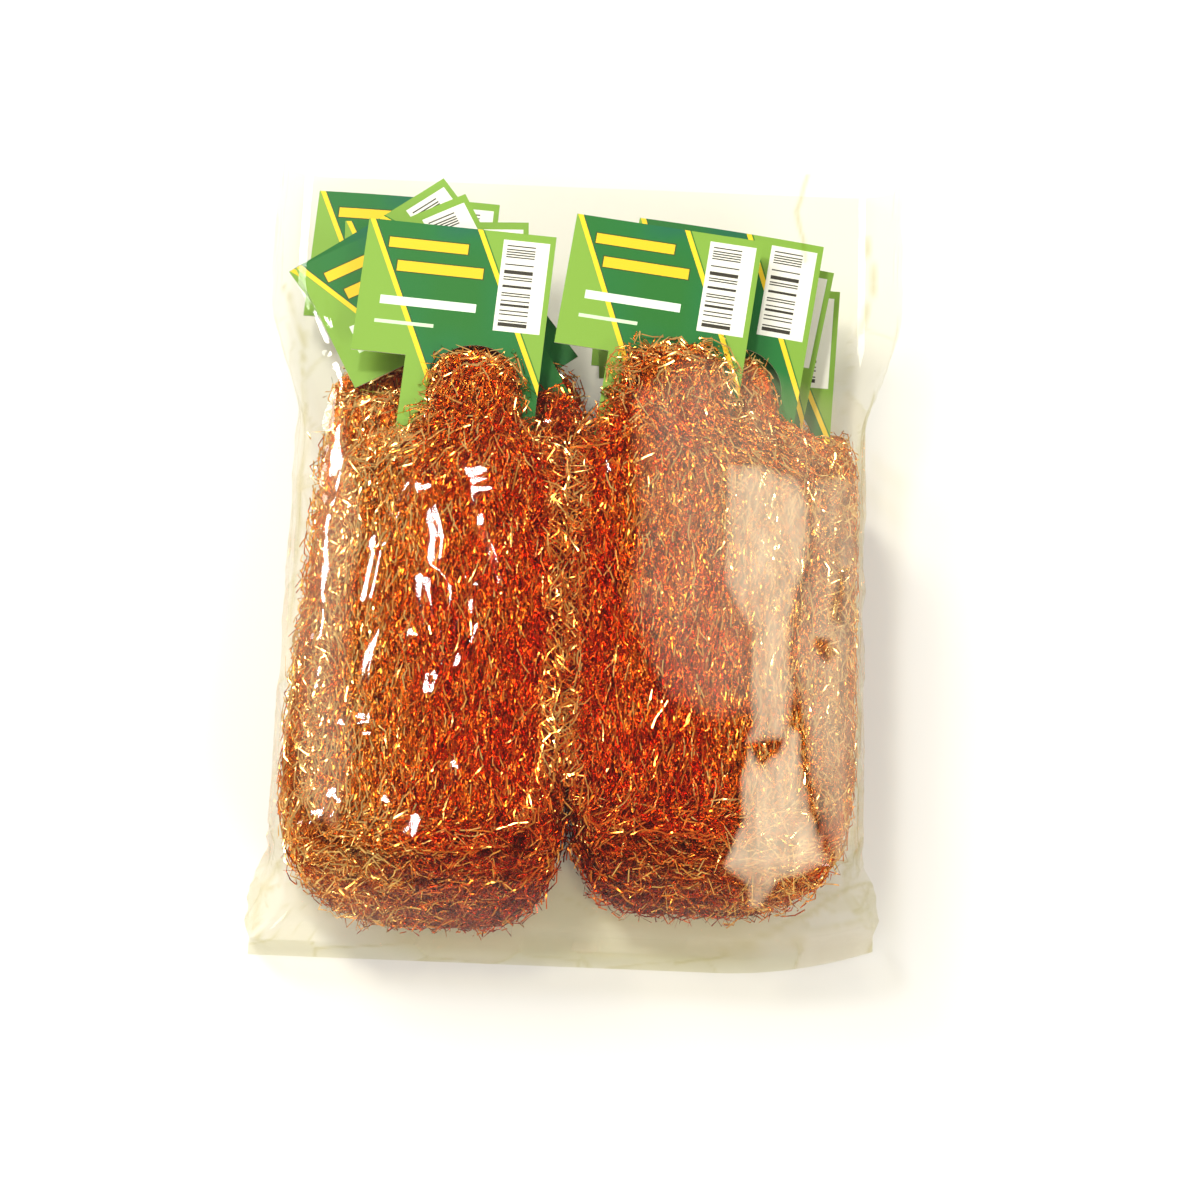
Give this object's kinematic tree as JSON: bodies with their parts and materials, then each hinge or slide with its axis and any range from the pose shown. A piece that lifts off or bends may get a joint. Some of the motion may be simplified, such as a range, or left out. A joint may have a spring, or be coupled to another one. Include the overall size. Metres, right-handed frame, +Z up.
{
  "type": "bag of carded copper scouring pads",
  "caption": "Clear open poly bag of flat knitted copper pot scrubbers, stacked in two columns, each pulled through the hole of a printed hang card.",
  "frame": {"origin": "on the table under the middle of the bag", "axes": "+X across the bag, +Y from its welded foot towards its open mouth, +Z up from the table it lies on"},
  "size_m": [0.23, 0.307, 0.0597],
  "materials": {
    "clear_film": "clear soft polyethylene film, creased, glossy",
    "copper_knit": "bright flat copper ribbon, knitted and crumpled",
    "printed_card": "green printed board with yellow stripes, semi-gloss, pale cut edges"
  },
  "bodies": {
    "bag": {"film_bag": "clear_film"},
    "pad_01": {"copper_pad_01": "copper_knit"},
    "card_01": {"hang_card_01": "printed_card"},
    "pad_02": {"copper_pad_02": "copper_knit"},
    "card_02": {"hang_card_02": "printed_card"},
    "pad_03": {"copper_pad_03": "copper_knit"},
    "card_03": {"hang_card_03": "printed_card"},
    "pad_04": {"copper_pad_04": "copper_knit"},
    "card_04": {"hang_card_04": "printed_card"},
    "pad_05": {"copper_pad_05": "copper_knit"},
    "card_05": {"hang_card_05": "printed_card"},
    "pad_06": {"copper_pad_06": "copper_knit"},
    "card_06": {"hang_card_06": "printed_card"},
    "pad_07": {"copper_pad_07": "copper_knit"},
    "card_07": {"hang_card_07": "printed_card"},
    "pad_08": {"copper_pad_08": "copper_knit"},
    "card_08": {"hang_card_08": "printed_card"},
    "pad_09": {"copper_pad_09": "copper_knit"},
    "card_09": {"hang_card_09": "printed_card"},
    "pad_10": {"copper_pad_10": "copper_knit"},
    "card_10": {"hang_card_10": "printed_card"},
    "pad_11": {"copper_pad_11": "copper_knit"},
    "card_11": {"hang_card_11": "printed_card"},
    "pad_12": {"copper_pad_12": "copper_knit"},
    "card_12": {"hang_card_12": "printed_card"}
  },
  "joints": [
    {"name": "pad_01_pull_out", "type": "slide", "parent": "bag", "child": "pad_01", "axis": [0, 1, 0], "range_m": [0, 0.3]},
    {"name": "card_01_swing", "type": "hinge", "parent": "pad_01", "child": "card_01", "pos_m": [-0.044, 0.066, 0.00545], "axis": [0, 0, 1], "range_deg": [-15, 6]},
    {"name": "pad_02_pull_out", "type": "slide", "parent": "bag", "child": "pad_02", "axis": [0, 1, 0], "range_m": [0, 0.3]},
    {"name": "card_02_swing", "type": "hinge", "parent": "pad_02", "child": "card_02", "pos_m": [-0.061, 0.076, 0.0152], "axis": [0, 0, 1], "range_deg": [-9, 5]},
    {"name": "pad_03_pull_out", "type": "slide", "parent": "bag", "child": "pad_03", "axis": [0, 1, 0], "range_m": [0, 0.3]},
    {"name": "card_03_swing", "type": "hinge", "parent": "pad_03", "child": "card_03", "pos_m": [-0.044, 0.062, 0.02495], "axis": [0, 0, 1], "range_deg": [-15, 15]},
    {"name": "pad_04_pull_out", "type": "slide", "parent": "bag", "child": "pad_04", "axis": [0, 1, 0], "range_m": [0, 0.3]},
    {"name": "card_04_swing", "type": "hinge", "parent": "pad_04", "child": "card_04", "pos_m": [-0.036, 0.073, 0.0347], "axis": [0, 0, 1], "range_deg": [-20, 5]},
    {"name": "pad_05_pull_out", "type": "slide", "parent": "bag", "child": "pad_05", "axis": [0, 1, 0], "range_m": [0, 0.3]},
    {"name": "card_05_swing", "type": "hinge", "parent": "pad_05", "child": "card_05", "pos_m": [-0.0375, 0.06, 0.04445], "axis": [0, 0, 1], "range_deg": [-20, 3]},
    {"name": "pad_06_pull_out", "type": "slide", "parent": "bag", "child": "pad_06", "axis": [0, 1, 0], "range_m": [0, 0.3]},
    {"name": "card_06_swing", "type": "hinge", "parent": "pad_06", "child": "card_06", "pos_m": [-0.0395, 0.0445, 0.0542], "axis": [0, 0, 1], "range_deg": [0, 14]},
    {"name": "pad_07_pull_out", "type": "slide", "parent": "bag", "child": "pad_07", "axis": [0, 1, 0], "range_m": [0, 0.3]},
    {"name": "card_07_swing", "type": "hinge", "parent": "pad_07", "child": "card_07", "pos_m": [0.048, 0.064, 0.00545], "axis": [0, 0, 1], "range_deg": [-15, 3]},
    {"name": "pad_08_pull_out", "type": "slide", "parent": "bag", "child": "pad_08", "axis": [0, 1, 0], "range_m": [0, 0.3]},
    {"name": "card_08_swing", "type": "hinge", "parent": "pad_08", "child": "card_08", "pos_m": [0.052, 0.06, 0.0152], "axis": [0, 0, 1], "range_deg": [-15, 2]},
    {"name": "pad_09_pull_out", "type": "slide", "parent": "bag", "child": "pad_09", "axis": [0, 1, 0], "range_m": [0, 0.3]},
    {"name": "card_09_swing", "type": "hinge", "parent": "pad_09", "child": "card_09", "pos_m": [0.068, 0.04, 0.02495], "axis": [0, 0, 1], "range_deg": [-12, 15]},
    {"name": "pad_10_pull_out", "type": "slide", "parent": "bag", "child": "pad_10", "axis": [0, 1, 0], "range_m": [0, 0.3]},
    {"name": "card_10_swing", "type": "hinge", "parent": "pad_10", "child": "card_10", "pos_m": [0.0575, 0.0465, 0.0347], "axis": [0, 0, 1], "range_deg": [-15, 15]},
    {"name": "pad_11_pull_out", "type": "slide", "parent": "bag", "child": "pad_11", "axis": [0, 1, 0], "range_m": [0, 0.3]},
    {"name": "card_11_swing", "type": "hinge", "parent": "pad_11", "child": "card_11", "pos_m": [0.055, 0.052, 0.04445], "axis": [0, 0, 1], "range_deg": [-15, 15]},
    {"name": "pad_12_pull_out", "type": "slide", "parent": "bag", "child": "pad_12", "axis": [0, 1, 0], "range_m": [0, 0.3]},
    {"name": "card_12_swing", "type": "hinge", "parent": "pad_12", "child": "card_12", "pos_m": [0.033, 0.048, 0.0542], "axis": [0, 0, 1], "range_deg": [-15, 0]}
  ]
}
